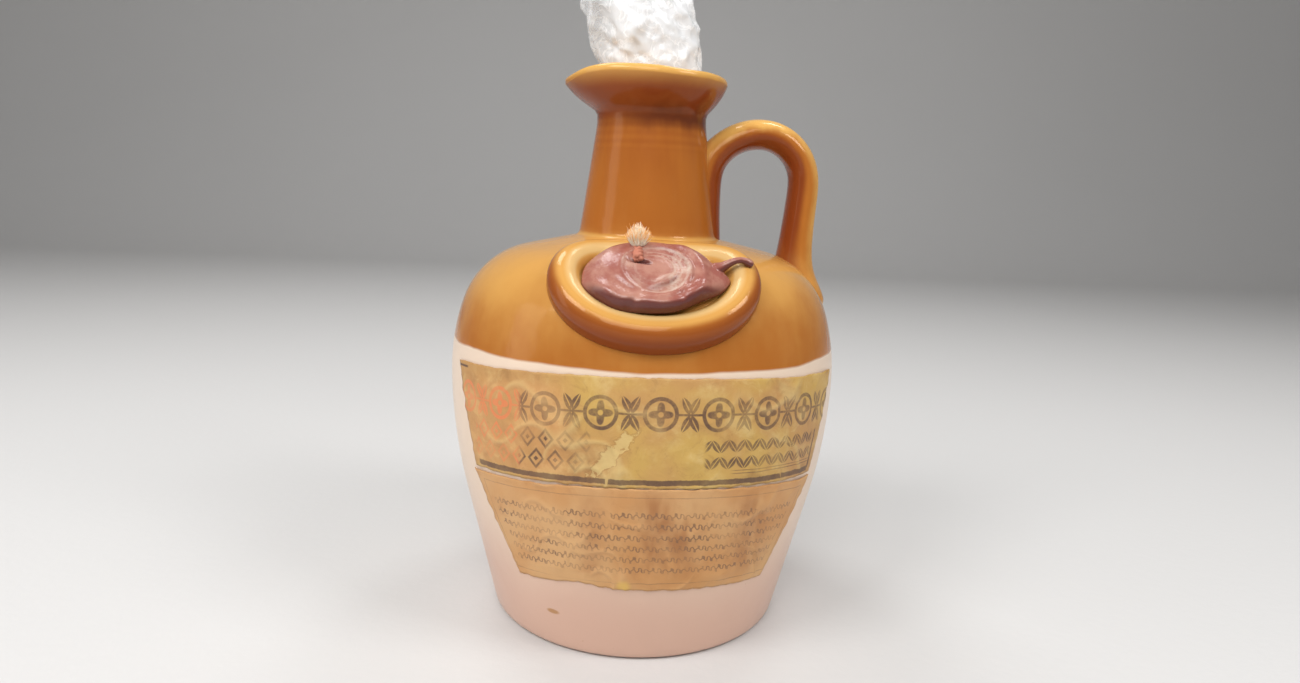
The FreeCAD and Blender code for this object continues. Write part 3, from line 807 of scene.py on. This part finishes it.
def buildCord(material):
    bm = bmesh.new()
    bleach = bm.verts.layers.float.new("bleach")
    upright = Vector((0, 0, 1))
    top = cordCorner + upright * cord["rise"]
    path = [cordEnd.lerp(cordCorner, i / 8) for i in range(8)]
    path += [cordCorner.lerp(top, i / 3) for i in range(4)]
    size = cord["radius"] * cord["strandRadius"]
    for strand in range(cord["strands"]):
        stations = []
        run = 0.0
        for i, here in enumerate(path):
            run += (here - path[max(i - 1, 0)]).length
            along = wayAlong(path, i)
            turn = 2 * pi * (strand / cord["strands"] + run / cord["pitch"])
            beside = across * cos(turn) + along.normalized().cross(across) * sin(turn)
            here = here + beside * cord["radius"] * cord["strandOff"]
            stations.append(station(here, along, across, size))
        sweep(bm, stations, 8)
    golden = pi * (3 - sqrt(5))
    for i in range(cord["fibres"]):
        spread = sqrt((i + 0.5) / cord["fibres"])
        outward = around(1, golden * i)
        odd = [wobble(Vector((i, 9 * k, 0)), 2.7, 5) for k in range(4)]
        tilt = (upright + outward * spread ** 1.9 + Vector((odd[0], odd[1], 0)) * 0.45).normalized()
        length = cord["tuftHeight"] * (1.2 - 0.7 * spread + 0.35 * odd[2])
        root = top + outward * cord["radius"] * 0.95 * spread - upright * cord["tuftRoot"]
        stations = []
        for s in (k / 5 for k in range(6)):
            sway = [wobble(Vector((i, s, row)), 1.3, seed) for row, seed in ((1, 2), (7, 4))]
            curl = Vector((*sway, 0)) * cord["curl"] * s + upright * 0.9 * spread * s * s
            size = cord["fibreRadius"] * (1.1 - 0.7 * s)
            stations.append(station(root + tilt * length * s + curl, tilt, across, size))
        for k, ring in enumerate(sweep(bm, stations, 4)):
            pale = rampUp(1.35 - 0.35 * spread - 0.17 * k + 0.5 * odd[3], 0.15, 0.65)
            for vert in ring:
                vert[bleach] = 0.5 + 0.5 * pale
    faceOut(bm)
    makePiece("sealTuft", bm, material, "jug", "seal_cord")


def cordLook(wire):
    bleach = keptValue(wire, "bleach")
    cloud = objectSpot(wire).grain(900, 3, 0.6)
    colour = painted(cord["stained"], cord, ((bleach + cloud.sway(0.3)).ease(0.1, 0.5), 1, "rust"),
                     ((bleach + cloud.sway(0.1)).ease(0.55, 1.0), 1, "bleached"))
    return colour, 0.75 + cloud * 0.15, cloud.relief(0.3, 0.5)


# Paper labels, glued round the flank; the places of the print are millimetres along and up the paper

header = {
    "top": 84.4, "foot": 55.5, "topDroop": 3.3, "footDroop": 3.0, "topAngle": 64.0, "footAngle": 55.5,
    "tear": 0.0, "flushAlong": (-60, -22, 3), "flushUp": (2, 26, 2), "redEnd": -36.0,
    "roundel": {"up": 19.8, "pitch": 15.0, "shift": 2.0, "radius": 4.0, "petals": 3.3, "span": (-62.5, 67.0)},
    "leaf": {"slant": 28, "aside": 0.9, "up": 2.1, "length": 3.0, "width": 1.15},
    "lozenge": {"rows": ((11.9, 0.4), (6.3, 3.2)), "pitch": 5.6, "span": (-54.0, -15.5), "wide": 2.1,
                "tall": 2.4},
    "sprig": {"rows": ((11.4, 0.0), (6.9, 2.4)), "pitch": 4.8, "span": (14.0, 53.0), "slant": 55,
              "length": 2.3, "width": 1.0},
    "band": {"up": 1.6, "half": 0.75, "reach": 53.0, "curlTop": 13},
    "rules": {"lines": ((3.9, 0.12), (4.7, 0.1)), "start": 22},
    "corner": {"down": 1.2, "half": 0.3, "span": (-65, -59)},
    "scrape": (-9.9, 9.0, 0.86), "scrapeSize": (95, 7),
    "yellow": (0.55, 0.34, 0.082), "tan": (0.49, 0.26, 0.085), "pale": (0.66, 0.485, 0.20),
    "stain": (0.31, 0.15, 0.042), "blush": (0.75, 0.33, 0.12), "ink": (0.095, 0.046, 0.030),
    "red": (0.72, 0.20, 0.07),
}
lower = {
    "top": 55.2, "foot": 24.4, "topDroop": 4.0, "footDroop": 1.8, "topAngle": 56.5, "footAngle": 42.5,
    "tear": 1.2, "stains": ((-2, 12, 4, 1.0), (24, 36, 4, 0.7), (-17, -12, 3, 0.5)), "stainUp": (4, 29, 4),
    "border": {"half": 0.11, "side": 2.6, "foot": 2.2, "top": 2.4, "spread": 1.16},
    "rows": {"pitch": 3.35, "start": 6.4, "span": (4.9, 24.8), "margin": 5.0, "wave": 1.7, "swell": 4.6},
    "torn": {"along": -21, "half": 8, "up": (4.2, 5.4)}, "drop": (-5.5, 1.2),
    "tan": (0.545, 0.262, 0.088), "pale": (0.615, 0.355, 0.155), "stain": (0.36, 0.14, 0.04),
    "ink": (0.20, 0.105, 0.055), "yellow": (0.72, 0.46, 0.10),
}
paper = {
    "paste": 0.05, "thickness": 0.2, "middle": 0.6, "crease": 0.38, "blister": 0.9, "pucker": 0.2,
    "ragSpan": 50, "columns": 200, "rows": 56, "uvScale": 100.0,
}


def labelEdge(label, end):
    # half the label's width at a long edge
    z = label[end] - label[end + "Droop"]
    return outlineAt(z)[0] * sin(radians(label[end + "Angle"]))


def onFlank(x, z, lift):
    point = Vector((x, -sqrt(outlineAt(z)[0] ** 2 - x ** 2), z))
    return point + uneven(point) + wayOut(point) * lift


def buildLabel(name, node, label, material):
    bm = bmesh.new()
    bmesh.ops.create_grid(bm, x_segments=paper["columns"], y_segments=paper["rows"], size=1.0)
    sheetMap = bm.loops.layers.uv.new("sheet")
    creased = bm.verts.layers.float.new("creased")
    footWide, topWide = (labelEdge(label, end) for end in ("foot", "top"))
    tall = label["top"] - label["foot"]
    uvOf = {}
    for vert in bm.verts:
        s, t = vert.co.x, (vert.co.y + 1) / 2
        rag = Vector((s * paper["ragSpan"], t * tall, 0))
        x = s * between(footWide, topWide, t)
        x += 0.5 * wobble(rag, 2.5, 1) * rampUp(abs(s), 0.96, 1.0)
        nibble = 0.3 * wobble(rag, 3.0, 8) + 0.15 * wobble(rag, 0.9, 3)
        up = t * tall + nibble * (rampUp(t, 0.94, 1.0) + 1 - rampUp(t, 0.0, 0.06))
        torn = label["tear"] * bell(s + 0.52, 0.2) * (1 + 0.5 * wobble(rag, 4.0, 6))
        up += torn * (1 - rampUp(t, 0.0, 0.5))
        z = label["foot"] + up - between(label["footDroop"], label["topDroop"], t) * s * s
        fold = max(1 - abs(wobble(rag, 12, 14)) / 0.08, 0) * rampUp(wobble(rag, 20, 15), 0.0, 0.2)
        vert[creased] = fold
        lift = paper["paste"] + paper["middle"] * paper["thickness"] + paper["crease"] * fold
        lift += paper["blister"] * max(wobble(rag, 7.0, 4), 0) ** 2
        lift += paper["pucker"] * max(wobble(rag, 2.4, 5), 0)
        radius = outlineAt(z)[0]
        uvOf[vert] = (radius * asin(x / radius) / paper["uvScale"], up / paper["uvScale"])
        vert.co = onFlank(x, z, lift)
    for face in bm.faces:
        for loop in face.loops:
            loop[sheetMap].uv = uvOf[loop.vert]
    faceOut(bm)
    if bm.faces[0].normal.y > 0:
        bmesh.ops.reverse_faces(bm, faces=bm.faces)
    thicken(makePiece(name, bm, material, "jug", node), paper["thickness"], 0.0)


def labelWires(wire):
    # the sheet, millimetres along and up it, two noises and the creases
    place = wire.add("UVMap", {"uv_map": "sheet"})
    u, v = (axisOf(place, axis) * paper["uvScale"] for axis in "XY")
    return place, u, v, place.grain(9, 5, 0.6), place.grain(120, 3, 0.7), keptValue(wire, "creased")


def leaf(along, up, angle, length, width):
    # pointed leaf with a bare vein, turned by an angle
    a, b = onMark(along, up, (0, 0, radians(angle)))
    a, b = a / length, (b / width).size()
    return (1 - a * a - b).ease(0.0, 0.2) * b.ease(0.06, 0.2)


def rosette(along, up, radius, petals):
    turn = along.maths("ARCTAN2", up, along)
    far = along.hypot(up) / radius
    edge = far - 0.25 * along.maths("COSINE", turn * petals)
    return (1 - edge.ease(0.62, 0.78)) * far.ease(0.16, 0.26)


def agedPaper(place, cloud, crease, tones):
    # blotched and dappled paper, with pale creases
    dapple = place.grain(20, 5, 0.7, 0.8)
    blotches = place.grain(6, 4, 0.6, 1.0).ease(0.52, 0.72)
    colour = place.grain(3.2, 3, 0.5, 0.6).ease(0.34, 0.58).tint(tones["yellow"], tones["tan"])
    return painted(colour, tones, (cloud.ease(0.48, 0.7), 0.6, "pale"), (blotches, 0.65, "stain"),
                   ((dapple - 0.5).ease(0.02, 0.25), 0.4, "pale"),
                   ((0.5 - dapple).ease(0.02, 0.22), 0.4, "stain"), (crease, 0.5, "pale"))


def roundels(u, v):
    # rings with four petals, crossed leaves between them, on one line
    row, twig = header["roundel"], header["leaf"]
    cell, up = u.repeat(row["pitch"], row["shift"]), v - row["up"]
    far = cell.hypot(up)
    art = (far - row["radius"]).stroke(0.5).most(rosette(cell, up, row["petals"], 4))
    beside = u.repeat(row["pitch"], row["shift"] + row["pitch"] / 2)
    for side, rise in ((1, 1), (-1, 1), (1, -1), (-1, -1)):
        along, off = beside - side * twig["aside"], up - rise * twig["up"]
        art = art.most(leaf(along, off, rise * (90 - side * twig["slant"]), twig["length"], twig["width"]))
    art = art.most(up.stroke(0.3) * far.ease(row["radius"], row["radius"] + 0.2))
    return art * u.span(*row["span"], 0.5)


def smallRows(u, v):
    # two rows of lozenges on the left and two of slanting leaves on the right
    shapes = []
    row = header["lozenge"]
    for level, shift in row["rows"]:
        cell, up = u.repeat(row["pitch"], shift).size(), (v - level).size()
        shape = (cell / row["wide"] + up / row["tall"] - 1).stroke(0.2, 0.1)
        shapes.append(shape.most((cell + up).stroke(0.7)) * u.span(*row["span"], 0.4))
    row = header["sprig"]
    for level, shift in row["rows"]:
        for angle, half in ((row["slant"], 0), (-row["slant"], row["pitch"] / 2)):
            shape = leaf(u.repeat(row["pitch"], shift + half), v - level, angle, row["length"], row["width"])
            shapes.append(shape * u.span(*row["span"], 0.6))
    return reduce(Wire.most, shapes)


def headerLines(place, u, v, wear, keep):
    # broad line along the foot with an upturned end, two thin rules over it and a corner mark
    band, rules, corner = header["band"], header["rules"], header["corner"]
    nick = place.stretched(1, 0.2, 1).grain(22, 2).ease(0.66, 0.69)
    ragged = place.grain(45, 3, 0.6) - 0.5
    ink = (v - band["up"] - ragged * 0.9).stroke(band["half"], 0.15) * (1 - nick)
    ink = ink * u.span(-band["reach"], band["reach"], 0.5)
    curl = (u - band["reach"] - (v - band["up"]) * 0.2).stroke(0.45)
    curl = curl * v.span(band["up"], band["curlTop"], 0.4)
    thin = sum((v - up).stroke(half) for up, half in rules["lines"])
    thin = thin * u.span(rules["start"], band["reach"], 1.0)
    under = v - header["top"] + header["foot"] + corner["down"]
    mark = under.stroke(corner["half"]) * u.span(*corner["span"], 0.6)
    return (ink.most(curl) * (1 - wear * 0.2)).most(thin * keep).most(mark)


def headerLook(wire):
    place, u, v, cloud, fine, crease = labelWires(wire)
    flushed = u.span(*header["flushAlong"]) * v.span(*header["flushUp"])
    wear = (cloud + fine * 0.35).ease(0.5, 0.8)
    faded = place.grain(5, 2).ease(0.54, 0.66) * 0.55
    keep = (1 - wear * 0.5) * (1 - faded) * (1 - crease * 0.6)
    red = 1 - u.ease(header["redEnd"] - 1, header["redEnd"] + 1)
    art = (roundels(u, v) * keep.most(red * 0.6)).most(smallRows(u, v) * keep)
    along, off = onMark(u, v, header["scrape"])
    torn = place.grain(26, 5, 0.7, 0.5).sway(4.2)
    bare = 0.7 - along * along / header["scrapeSize"][0] - off * off / header["scrapeSize"][1] + torn
    scrape = bare.ease(0.1, 0.3)
    colour = painted(agedPaper(place, cloud, crease, header), header,
                     (flushed, 0.1 + cloud.ease(0.35, 0.65) * 0.2, "blush"))
    colour = (art * 0.92).tint(colour, red.tint(header["ink"], header["red"]))
    colour = painted(colour, header, (headerLines(place, u, v, wear, keep), 0.92, "ink"),
                     (bare.span(-0.1, 0.12, 0.08), 0.4, "stain"), (scrape, 0.35 + cloud * 0.5, "pale"))
    bump = cloud * 0.7 + fine * 0.2 + place.grain(30, 3, 0.6) * 0.5 - scrape * 0.4
    return colour, 0.42 + cloud * 0.2 + scrape * 0.2, bump.relief(0.5, 0.4)


def lowerLines(place, u, v):
    # a thin border and rows of running waves, broken like words
    border, rows = lower["border"], lower["rows"]
    tall = lower["top"] - lower["foot"]
    low, high = border["foot"], tall - border["top"]
    footWide, topWide = (labelEdge(lower, end) * border["spread"] for end in ("foot", "top"))
    inside = between(footWide, topWide, v / tall) - u.size()
    sides = (inside - border["side"]).stroke(border["half"]) * v.span(low, high, 0.1)
    ends = (v - low).stroke(border["half"]) + (v - high).stroke(border["half"])
    sides = sides.most(ends * inside.ease(border["side"] - 0.1, border["side"] + 0.1))
    swing = place.stretched(1, 0.1, 1).grain(42, 2)
    wave = u.turns(rows["wave"]) * (swing * 1.1) + (u + v * 3).turns(rows["swell"]) * 0.3
    steep = (u + rows["wave"] / 4).turns(rows["wave"]).size() * (swing * 2.6) + 1
    running = ((v.repeat(rows["pitch"], rows["start"]) - wave) / steep).stroke(0.21, 0.13)
    words = place.stretched(1, 0.2, 1).grain(24, 2).ease(0.33, 0.42)
    running = running * words * inside.ease(rows["margin"], rows["margin"] + 0.4) * v.span(*rows["span"], 0.1)
    return sides * 0.75 + running


def lowerLook(wire):
    place, u, v, cloud, fine, crease = labelWires(wire)
    dapple = place.grain(18, 5, 0.7, 0.6)
    drip = place.stretched(1, 0.4, 1).grain(12, 3, 0.55, 0.3)
    stains = sum(u.span(*run[:3]) * run[3] for run in lower["stains"]) * v.span(*lower["stainUp"])
    wear = (cloud + fine * 0.35).ease(0.52, 0.8)
    ink = lowerLines(place, u, v) * (1 - wear * 0.7) * (1 - crease * 0.6)
    rip = lower["torn"]
    torn = 1 - ((u - rip["along"]) / rip["half"]).size().ease(0.5, 1.0)
    torn = torn * (1 - (v + cloud.sway(4)).ease(*rip["up"]))
    drop = 1 - (u - lower["drop"][0]).hypot(v - lower["drop"][1]).ease(0.8, 2.6)
    colour = painted(lower["tan"], lower, (place.grain(4).ease(0.35, 0.65), 1, "pale"),
                     ((dapple - 0.5).ease(0.02, 0.25), 0.35, "pale"),
                     ((0.5 - dapple).ease(0.02, 0.25), 0.3, "stain"),
                     (stains * drip.ease(0.36, 0.6), 0.85, "stain"), (crease, 0.45, "pale"),
                     (ink, 0.9, "ink"), (torn, 0.75, "pale"), (drop, 0.7, "yellow"))
    bump = cloud * 0.6 + fine * 0.2 + drip * 0.3 - torn * 0.3
    return colour, 0.45 + cloud * 0.2, bump.relief(0.5, 0.4)


# Stopper and the crumpled film round it; a fin has an angle, a height and a width

cork = {"pale": (0.56, 0.36, 0.19), "tan": (0.40, 0.22, 0.10), "pit": (0.13, 0.06, 0.03)}
plug = {"white": (0.86, 0.86, 0.84), "milky": (0.80, 0.80, 0.79)}
film = {
    "lowZ": 157.6, "highZ": 192.85, "tight": 13.6, "bulge": 3.0, "lean": 5.4, "thickness": 0.15,
    "lobes": 4, "lobeDepth": 0.05, "turns": 150, "rows": 84, "wallRows": 1.5,
    "fins": ((-0.35, 1.2, 0.1), (2.65, 3.0, 0.22), (0.9, 1.4, 0.09), (-1.9, 1.2, 0.12), (-2.75, 2.8, 0.2)),
    "crumples": ((8, 21, 2.2), (3.6, 22, 1.1), (1.7, 23, 0.3)), "settle": 1.6,
    "topWave": 1.2, "topSink": 3.0, "topRound": 0.8, "headRadius": 12.03, "headTop": 173.1,
    "veilX": -14.5, "flat": (0.07, 0.07), "clear": (0.98, 0.98, 0.98), "white": (1.0, 1.0, 1.0),
}


def corkLook(wire):
    spot = objectSpot(wire)
    cells = spot.grain(420, 5, 0.65)
    pits = spot.stretched(1, 1, 2.4).grain(260, 3, 0.6, 0.5).ease(0.6, 0.68)
    colour = painted(cork["tan"], cork, (cells.ease(0.35, 0.65), 1, "pale"), (pits, 0.85, "pit"))
    return colour, 0.8 + cells * 0.1, (cells * 0.4 - pits).relief(0.5, 0.6)


def plugLook(wire):
    cloud = objectSpot(wire).grain(140)
    colour = cloud.ease(0.35, 0.7).tint(plug["white"], plug["milky"])
    return colour, 0.24 + cloud * 0.1, cloud.relief(0.2, 0.2)


def filmLook(wire):
    spot = objectSpot(wire)
    crinkle = spot.grain(150, 5, 0.6, 0.6)
    creases = (crinkle - 0.5).stroke(0.025, 0.025)
    veiled = (axisOf(spot, "X") / mm - film["veilX"] + spot.grain(60).sway(9)).ease(-3.0, 3.0)
    # whiter and more opaque along the creases: whitened film, and a painted highlight
    more = {"Alpha": 0.22 + veiled * 0.54 + creases * 0.2, "IOR": 1.5}
    colour = creases.tint(film["clear"], film["white"])
    return colour, 0.06 + crinkle * 0.1, crinkle.relief(0.8, 0.4), more


def ridge(point, size, seed):
    return 0.35 - abs(wobble(point, size, seed))


def filmPoint(share, angle):
    # place on the film: up the wall for shares to 1, then over the gathered top to its middle at 2
    rise = min(share, 1.0)
    drawn = 1 - 0.55 * max((rise - 0.6) / 0.4, 0) ** 3.5
    radius = (film["tight"] + film["bulge"] * rampUp(rise, -0.1, 0.7)) * drawn
    wave = cos(film["lobes"] * angle + 2.5 * rise) + 0.6 * cos(2 * angle + 4 * rise)
    radius *= 1 + film["lobeDepth"] * rampUp(rise, 0.0, 0.4) * wave
    z = between(film["lowZ"], film["highZ"], rise)
    point = around(radius, angle, z)
    loose = rampUp(rise, 0.12, 0.4)
    crumple = sum(deep * ridge(point, size, seed) for size, seed, deep in film["crumples"]) - film["settle"]
    for at, size, width in film["fins"]:
        gap = remainder(angle - at - 0.35 * sin(5 * rise + at), 2 * pi)
        crumple += size * bell(gap, width) * rampUp(rise, 0.1, 0.5)
    radius += crumple * (0.12 + 0.88 * loose)
    shrink = 1 - max(share - 1, 0)
    z += film["topWave"] * wobble(point, 5, 24) * loose
    z -= film["topSink"] * (1 - shrink) * (1 - 0.3 * cos(5 * angle))
    z -= film["topRound"] * rampUp(share, 0.94, 1.06)
    point = around(radius * shrink, angle, z) - across * film["lean"] * rampUp(rise, 0.05, 0.8)
    wide = hypot(point.x, point.y)
    held = film["headRadius"] + 2.5 * film["thickness"]
    if z < film["headTop"] and wide < held:
        # the head stands inside
        point.x *= held / wide
        point.y *= held / wide
    return point


def buildFilm(material):
    # the wall takes three quarters of the rows, the gathered top the rest
    rows = [2.0 * i / film["rows"] for i in range(film["rows"] + 1)]
    wall = film["wallRows"]
    shares = [row / wall if row < wall else 1 + (row - wall) / (2 - wall) for row in rows]
    bm = spinProfile([flat(2.0 - share, share) for share in shares], film["turns"], merge=0.0001)
    for vert in bm.verts:
        vert.co = filmPoint(vert.co.z, atan2(vert.co.y, vert.co.x))
    faceOut(bm)
    piece = makePiece("filmWrap", bm, material, "stopper", "film_wrap")
    thicken(piece, film["thickness"], -1.0)
    return piece


def dressNode(node, material):
    mesh = nodes[node].data
    mesh.materials.clear()
    mesh.materials.append(material)


buildWax(makeMaterial("rubbedWax", waxLook))
buildCord(makeMaterial("frayedCord", cordLook))
buildLabel("headerLabel", "header_label", header, makeMaterial("headerPaper", headerLook))
buildLabel("lowerLabel", "text_label", lower, makeMaterial("lowerPaper", lowerLook))
dressNode("stopper_cork", makeMaterial("barkCork", corkLook))
dressNode("stopper_head", makeMaterial("whitePlug", plugLook))
wrap = buildFilm(makeMaterial("clearFilm", filmLook))
print("seal, labels and stopper dressed")


# Camera, at the photograph's place, in millimetres and degrees

shot = {
    "place": (-13.39, -255.57, 128.54), "down": 10.069, "turn": 3.476, "roll": 2.324,
    "focal": 820.0, "imageWidth": 1300.0,
}


def buildCamera():
    data = bpy.data.cameras.new("camera")
    data.sensor_width = 36.0
    data.lens = shot["focal"] / shot["imageWidth"] * data.sensor_width
    data.clip_start = 0.01
    camera = linkObject("camera", data)
    turn, down, roll = (radians(shot[k]) for k in ("turn", "down", "roll"))
    ahead = Vector((sin(turn) * cos(down), cos(turn) * cos(down), -sin(down)))
    level = Vector((cos(turn), -sin(turn), 0))
    plumb = level.cross(ahead)
    right = level * cos(roll) + plumb * sin(roll)
    top = plumb * cos(roll) - level * sin(roll)
    axes = Matrix((right, top, -ahead)).transposed().to_4x4()
    camera.matrix_world = Matrix.Translation(Vector(shot["place"]) * mm) @ axes
    scene.camera = camera


# Floor, backdrop and light, in metres

studio = {
    "floorSize": 8.0, "floorWide": 30.0, "wallBack": 1.2, "wallCurve": 0.5, "wallHeight": 6.0,
    "grey": (0.62, 0.61, 0.60), "pale": (0.66, 0.65, 0.64), "air": (0.26, 0.26, 0.26), "aim": (0, 0, 0.09),
    "lamps": {
        "leftSoftbox": {"place": (-0.62, -0.50, 0.85), "size": 0.40, "watts": 5.4},
        "rightSoftbox": {"place": (0.70, -0.42, 0.80), "size": 0.36, "watts": 4.5},
        "frontSoftbox": {"place": (-0.15, -0.85, 0.85), "size": 0.60, "watts": 5.3},
        "leftStrip": {"place": (-0.60, -0.16, 0.26), "size": 0.20, "tall": 0.40, "watts": 0.38},
        "backLeftSoftbox": {"place": (-0.33, 0.345, 1.03), "size": 0.36, "watts": 3.0},
        "backRightSoftbox": {"place": (0.35, 0.36, 1.03), "size": 0.28, "watts": 1.8},
    },
}


def floorLook(wire):
    spot = objectSpot(wire)
    colour = painted(studio["grey"], studio, (spot.grain(3), 0.5, "pale"))
    return colour, 0.7, spot.grain(300).relief(0.4, 0.3)


def buildStudio():
    bm = bmesh.new()
    half, side = studio["floorSize"] / 2, studio["floorWide"] / 2
    bendAxis = flat(studio["wallBack"], studio["wallCurve"])
    bend = arcPoints(bendAxis, studio["wallCurve"], -pi / 2, 0, 9)
    path = [flat(-half, 0)] + bend + [flat(bend[-1].x, studio["wallHeight"])]
    edges = chain(bm, [(-side, p.x, p.y) for p in path])[1]
    bmesh.ops.translate(bm, vec=(2 * side, 0, 0), verts=pull(bm, edges)[0])
    faceOut(bm)
    floor = makeObject("floor", bm, makeMaterial("paleFloor", floorLook))
    for name, lamp in studio["lamps"].items():
        data = bpy.data.lights.new(name, "AREA")
        data.shape = "RECTANGLE"
        data.size = lamp["size"]
        data.size_y = lamp.get("tall", lamp["size"])
        data.energy = lamp["watts"]
        aim = Vector(studio["aim"]) - Vector(lamp["place"])
        turned = aim.to_track_quat("-Z", "Y").to_matrix().to_4x4()
        linkObject(name, data).matrix_world = Matrix.Translation(lamp["place"]) @ turned
    world = bpy.data.worlds.new("studioAir")
    wire = clearTree(world)
    glow = wire.add("Background", None, {"Color": studio["air"], "Strength": 1.0})
    wire.add("OutputWorld", None, {"Surface": glow})
    scene.world = world


buildCamera()
buildStudio()
scene.view_settings.view_transform = "Standard"
